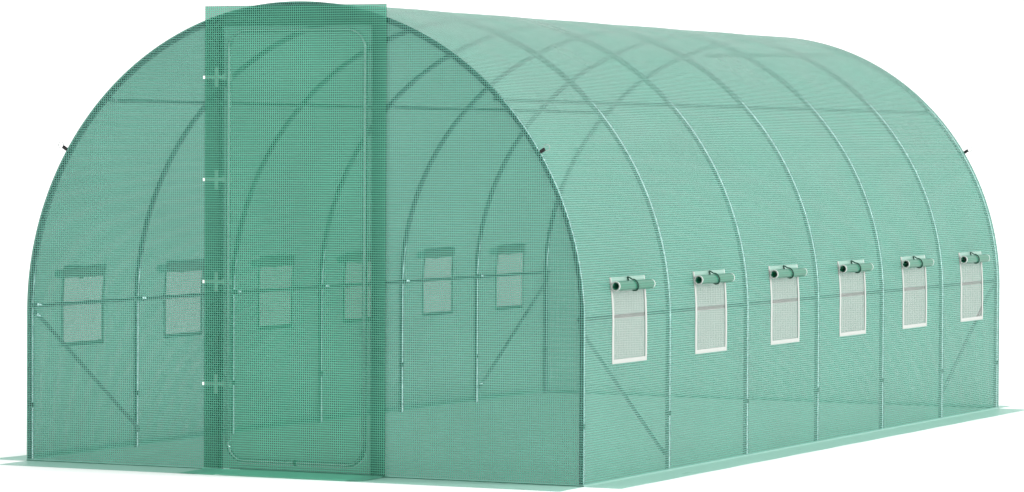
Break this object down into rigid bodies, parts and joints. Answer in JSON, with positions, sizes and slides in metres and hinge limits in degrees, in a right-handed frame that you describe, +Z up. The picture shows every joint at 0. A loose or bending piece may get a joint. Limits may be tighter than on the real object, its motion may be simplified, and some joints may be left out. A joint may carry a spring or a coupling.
{
  "type": "polytunnel greenhouse",
  "caption": "Walk-in tunnel greenhouse: steel hoops under a woven film cover, netted roll-up windows along both sides and a hinged film door in the front end.",
  "frame": {"origin": "on the ground, in the middle of the tunnel's length and width", "axes": "+Z up, +Y along the tunnel away from the door, +X to the right seen from the door end"},
  "size_m": [3.4146, 6.5546, 2.2573],
  "materials": {
    "galvanised_tube": "galvanised, dull bright",
    "cover_film": "woven translucent film with a thread grid",
    "door_film": "woven translucent film with a thread grid",
    "skirt_film": "woven translucent film lying flat",
    "rolled_film": "woven film rolled up in several turns",
    "white_hem": "sewn white tape",
    "insect_net": "fine mesh",
    "tie_ring": "black webbing with a bright wire ring",
    "white_clip": "moulded white"
  },
  "bodies": {
    "tunnel": {"back_wall": "cover_film", "brace_back_left": "galvanised_tube", "brace_back_right": "galvanised_tube", "brace_front_left": "galvanised_tube", "brace_front_right": "galvanised_tube", "door_post_left": "galvanised_tube", "door_post_right": "galvanised_tube", "door_strip_edge": "door_film", "front_wall_left": "cover_film", "front_wall_right": "cover_film", "front_wall_top": "cover_film", "hinge_clips": "white_clip", "hoop_1": "galvanised_tube", "hoop_2": "galvanised_tube", "hoop_3": "galvanised_tube", "hoop_4": "galvanised_tube", "hoop_5": "galvanised_tube", "hoop_6": "galvanised_tube", "hoop_7": "galvanised_tube", "lower_rail_left": "galvanised_tube", "lower_rail_right": "galvanised_tube", "roof_left_high": "cover_film", "roof_left_low": "cover_film", "roof_right_high": "cover_film", "roof_right_low": "cover_film", "side_wall_left": "cover_film", "side_wall_right": "cover_film", "skirt_back": "skirt_film", "skirt_front_left": "skirt_film", "skirt_front_right": "skirt_film", "skirt_left": "skirt_film", "skirt_right": "skirt_film", "tie_rings": "tie_ring", "upper_purlin_left": "galvanised_tube", "upper_purlin_right": "galvanised_tube", "window_hems_left": "white_hem", "window_hems_right": "white_hem", "window_nets_left": "insect_net", "window_nets_right": "insect_net", "window_rolls_left": "rolled_film", "window_rolls_right": "rolled_film"},
    "door": {"door_ring": "galvanised_tube", "door_skirt": "skirt_film", "door_strip": "door_film"}
  },
  "joints": [
    {"name": "door_hinge", "type": "hinge", "parent": "tunnel", "child": "door", "pos_m": [-0.37, -3.0131, 0], "axis": [0, 0, -1], "range_deg": [0, 100]}
  ]
}
